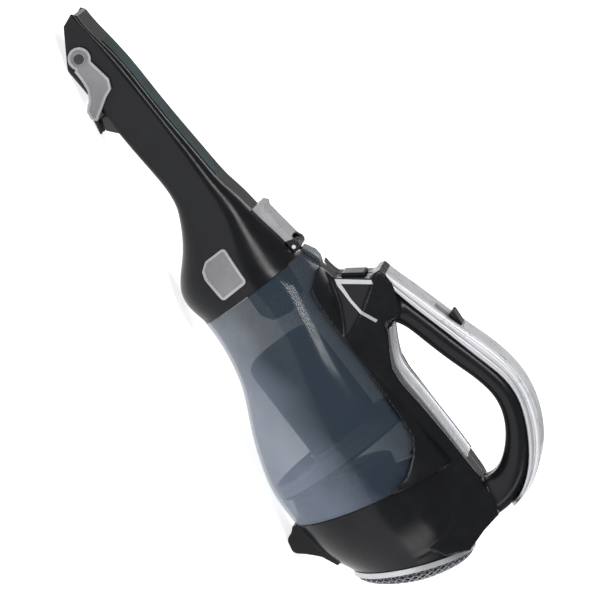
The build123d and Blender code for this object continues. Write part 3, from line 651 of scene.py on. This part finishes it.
def vent_liner(columns=64, rows=14, deep=10.2, gap=4.2):
    """Dark cloth stretched just inside the exhaust dome."""
    middle, rise, out, tall = vent_frame()
    vertices, faces = [], []
    for row in range(rows):
        turn = math.radians(84) * row / (rows - 1)
        for column in range(columns):
            angle = 2 * math.pi * column / columns
            place = middle + rise * (tall - gap) * math.cos(turn) * math.sin(angle)
            place += out * (deep * math.sin(turn) + VENT_STEP)
            place += Vector((0, (VENT_HALF_WIDTH - gap) * math.cos(turn) * math.cos(angle), 0))
            vertices.append(((place.x + HEEL_X) * MM, place.y * MM, place.z * MM))
    for row in range(rows - 1):
        for column in range(columns):
            beside = (column + 1) % columns
            a, b = row * columns, (row + 1) * columns
            faces.append((a + column, a + beside, b + beside, b + column))
    faces.append(tuple((rows - 1) * columns + column for column in range(columns)))
    thick = ("SOLIDIFY", {"thickness": 0.5 * MM, "offset": 0.0})
    return smooth_shading(applied(mesh_from(vertices, faces), thick))


new_object("exhaust_dome", vent_dome(), dome_grey, "main_body", ["vent_grille"])
new_object("exhaust_cloth", vent_liner(), foam, "main_body", ["vent_grille"])


# ---------------------------------------------------------------- side buttons
def dished(mesh, depth, start, end):
    """Sinks both outer faces inside a raised rim, and gives the rim a material slot of its own."""
    rim = [v.co for v in mesh.vertices if abs(v.normal.y) < 0.5]
    tree = KDTree(len(rim))
    for index, place in enumerate(rim):
        tree.insert(place, index)
    tree.balance()
    reach = {}
    for vertex in mesh.vertices:
        distance = tree.find(vertex.co)[2] / MM
        reach[vertex.index] = distance
        outward = vertex.normal.y * (1 if vertex.co.y > 0 else -1)
        if outward > 0.5:
            amount = min(1.0, max(0.0, (distance - start) / (end - start)))
            vertex.co.y -= math.copysign(depth * MM * amount * amount * (3 - 2 * amount), vertex.co.y)
    # Faces by the rim go to slot 1, which carries the lighter grey of a painted rim highlight.
    for face in mesh.polygons:
        near = min(reach[index] for index in face.vertices)
        face.material_index = 1 if near < (start + end) / 2 else 0
    return mesh


for side_name in ("left", "right"):
    node = "latch_button_" + side_name
    dish = dished(softened(node, 0.35, 5), 0.9, 1.2, 2.4)
    button = new_object("button_" + side_name, dish, grey_plastic, "latch_" + side_name, [node])
    # The rim's lighter grey is a painted highlight along the raised rim.
    button.data.materials.append(pale_grey_and_rim_highlight)

lever_mesh = dished(softened("brush_yoke", 0.4, 5), 0.8, 1.0, 2.2)
lever = new_object("brush_lever", lever_mesh, grey_plastic, "flip_brush", ["brush_yoke"])
# The rim's lighter grey is a painted highlight along the raised rim.
lever.data.materials.append(pale_grey_and_rim_highlight)


# ---------------------------------------------------------------- hinge strap
def strap_cover():
    """Ribbed strap: pale cover, with the part round the hinge pin in black."""
    mesh = sharp_edges(NODES["hinge_strap"].data.copy(), 35.0)
    mesh.materials.clear()
    pin = Vector((HINGE_PIN[0] + HEEL_X, 0, HINGE_PIN[1])) * MM
    for face in mesh.polygons:
        away = face.center - pin
        face.material_index = 1 if math.hypot(away.x, away.z) < 6.5 * MM else 0
    return mesh


strap = new_object("strap_cover", strap_cover(), pale_grey_and_rim_highlight, "nozzle", ["hinge_strap"])
strap.data.materials.append(gloss_black)


# ---------------------------------------------------------------- pre-filter screen
def drum_lattice(node, columns=110, rows=46, wire=0.28):
    """Diamond wire screen over the drum, drawn in across its rounded nose."""
    low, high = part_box(node)
    axis = Vector((math.cos(BOWL_TILT), 0, -math.sin(BOWL_TILT)))
    radius = 29.2 * MM
    length = 92.0 * MM
    round_off = 10.0 * MM
    middle = (low + high) / 2
    base = middle - axis * length / 2
    up = Vector((math.sin(BOWL_TILT), 0, math.cos(BOWL_TILT)))
    side = Vector((0, 1, 0))
    profile = []
    for row in range(rows + 1):
        profile.append((radius, (length - round_off) * row / rows))
    for step in range(1, 7):
        angle = math.pi / 2 * step / 6
        inward, backward = 1 - math.cos(angle), 1 - math.sin(angle)
        profile.append((radius - round_off * inward, length - round_off * backward))
    for ring in (0.45, 0.3, 0.15):
        profile.append((radius * ring, length))
    vertices, faces = [], []
    for index, (r, along) in enumerate(profile):
        shift = 0.5 * (index % 2)
        for column in range(columns):
            angle = 2 * math.pi * (column + shift) / columns
            vertices.append(base + axis * along + side * r * math.cos(angle) + up * r * math.sin(angle))
    for row in range(len(profile) - 2):
        for column in range(columns):
            start = row * columns
            a = start + column
            if row % 2 == 0:
                left = start + columns + (column - 1) % columns
                right = start + columns + column
            else:
                left = start + columns + column
                right = start + columns + (column + 1) % columns
            top = start + 2 * columns + column
            faces.append((a, right, top, left))
    mesh = mesh_from(vertices, faces)
    return applied(mesh, ("WIREFRAME", {"thickness": wire * MM, "use_even_offset": False}))


new_object("screen_wires", smooth_shading(drum_lattice("prefilter_screen")), screen_mesh, "filter",
           ["prefilter_screen"])
new_object("screen_cloth", softened("prefilter_screen", 0.8, 3), screen_cloth, "filter")


# ---------------------------------------------------------------- brush tufts
def tufts(node, columns=26, rows=3):
    """Bristle tufts: tapered, slightly splayed bundles along the brush bar."""
    low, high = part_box(node)
    vertices, faces = [], []
    sides = 6
    for row in range(rows):
        for column in range(columns):
            spread = (column + 0.5 * (row % 2) + 0.5) / (columns + 0.5)
            y = low.y + (high.y - low.y) * spread
            z = low.z + (high.z - low.z) * (0.3 + 0.25 * row)
            wobble = math.sin(column * 12.9898 + row * 78.233)
            root = Vector((high.x, y, z))
            tip = Vector((low.x + 0.0008 * abs(wobble), y + 0.0006 * wobble, z - 0.0002 - 0.0006 * row))
            base = len(vertices)
            for end, radius in ((root, 0.00062), (tip, 0.0004)):
                for step in range(sides):
                    angle = 2 * math.pi * step / sides
                    vertices.append(end + Vector((0, radius * math.cos(angle), radius * math.sin(angle))))
            for step in range(sides):
                following = (step + 1) % sides
                faces.append((base + step, base + following, base + sides + following, base + sides + step))
            faces.append(tuple(base + sides + step for step in range(sides)))
            faces.append(tuple(base + step for step in reversed(range(sides))))
    return mesh_from(vertices, faces)


new_object("brush_tufts", smooth_shading(tufts("brush_bristles")), nylon, "flip_brush", ["brush_bristles"])


# ---------------------------------------------------------------- floor
def make_floor():
    size = 4.0
    corners = [(-size, -size, 0), (size, -size, 0), (size, size, 0), (-size, size, 0)]
    mesh = mesh_from(corners, [(0, 1, 2, 3)])
    floor = bpy.data.objects.new("floor", mesh)
    bpy.context.scene.collection.objects.link(floor)
    floor.location.z = -0.0003
    paint = moulded("floor_paint", (0.9, 0.9, 0.9), 0.9, grain=60.0, vary=0.01, strength=0.02, shine=0.1)
    shader = paint.node_tree.nodes["Principled BSDF"]
    shader.inputs["Emission Color"].default_value = (1, 1, 1, 1)
    shader.inputs["Emission Strength"].default_value = 0.8
    mesh.materials.append(paint)


make_floor()
